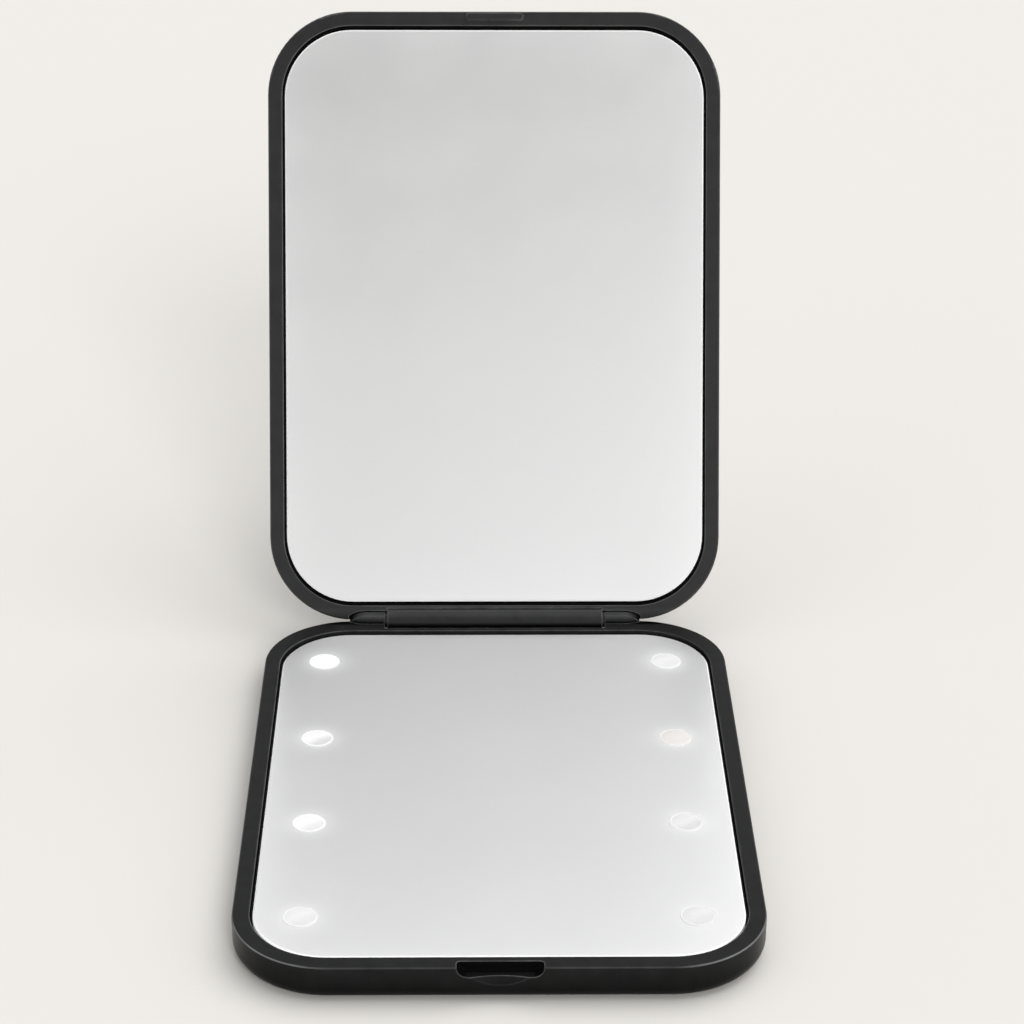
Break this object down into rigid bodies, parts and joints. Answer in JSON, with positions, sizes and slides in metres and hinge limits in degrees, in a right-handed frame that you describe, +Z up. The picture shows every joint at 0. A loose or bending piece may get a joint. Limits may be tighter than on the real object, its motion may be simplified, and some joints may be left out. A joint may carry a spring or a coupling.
{
  "type": "folding compact mirror with lamps",
  "caption": "Folding pocket mirror, open on its rear hinge: two rounded black halves with recessed mirrors, round lamps up both sides of the base, and a battery door underneath.",
  "frame": {"origin": "centre of the base's underside, on the surface it stands on", "axes": "+X to the user's right, +Y from the front notch to the hinge, +Z up"},
  "size_m": [0.065, 0.1247, 0.0857],
  "materials": {
    "casing_plastic": "fine matte moulded black",
    "tray_plastic": "moulded black, semi-matte",
    "mirror_glass": "back-silvered glass with a ground bevel",
    "lens_milky": "milky diffusing plastic, lit from below",
    "lamp_body": "white package with a pale yellow phosphor well",
    "tape": "thin double-sided foam tape",
    "circuit_board": "white solder mask over glass-fibre board",
    "component_body": "black epoxy",
    "cell_steel": "bright pressed stainless steel",
    "contact_metal": "nickel-plated spring metal",
    "magnet_plating": "nickel plating",
    "screw_steel": "zinc-plated steel",
    "pin_steel": "drawn steel",
    "washer_nylon": "black nylon",
    "foam": "soft black foam"
  },
  "bodies": {
    "base": {"base_shell": "casing_plastic", "base_tray": "tray_plastic", "base_tape": "tape", "base_mirror": "mirror_glass", "base_tray_screws": "screw_steel", "lamp_board": "circuit_board", "resistors": "component_body", "magnet_sensor": "component_body", "coin_cell_left": "cell_steel", "coin_cell_right": "cell_steel", "cell_spring_left": "contact_metal", "cell_spring_right": "contact_metal", "cell_clip": "contact_metal", "keeper_left": "magnet_plating", "keeper_right": "magnet_plating", "hinge_pin": "pin_steel", "hinge_washer_left": "washer_nylon", "hinge_washer_right": "washer_nylon", "lamp_lens_1": "lens_milky", "lamp_lens_2": "lens_milky", "lamp_lens_3": "lens_milky", "lamp_lens_4": "lens_milky", "lamp_lens_5": "lens_milky", "lamp_lens_6": "lens_milky", "lamp_lens_7": "lens_milky", "lamp_lens_8": "lens_milky", "lamp_chip_1": "lamp_body", "lamp_chip_2": "lamp_body", "lamp_chip_3": "lamp_body", "lamp_chip_4": "lamp_body", "lamp_chip_5": "lamp_body", "lamp_chip_6": "lamp_body", "lamp_chip_7": "lamp_body", "lamp_chip_8": "lamp_body"},
    "lid": {"lid_shell": "casing_plastic", "lid_tray": "tray_plastic", "lid_tape": "tape", "lid_mirror": "mirror_glass", "lid_tray_screws": "screw_steel", "lid_magnet_left": "magnet_plating", "lid_magnet_right": "magnet_plating", "hinge_sleeve_left": "contact_metal", "hinge_sleeve_right": "contact_metal"},
    "battery_door": {"battery_door": "casing_plastic", "door_pad": "foam"}
  },
  "joints": [
    {"name": "lid_hinge", "type": "hinge", "parent": "base", "child": "lid", "pos_m": [0, 0.04381, 0.00485], "axis": [-1, 0, 0], "range_deg": [-112.4, 67.6]},
    {"name": "battery_door_hinge", "type": "hinge", "parent": "base", "child": "battery_door", "pos_m": [0, -0.0297, 0.0008], "axis": [-1, 0, 0], "range_deg": [0, 30]}
  ]
}
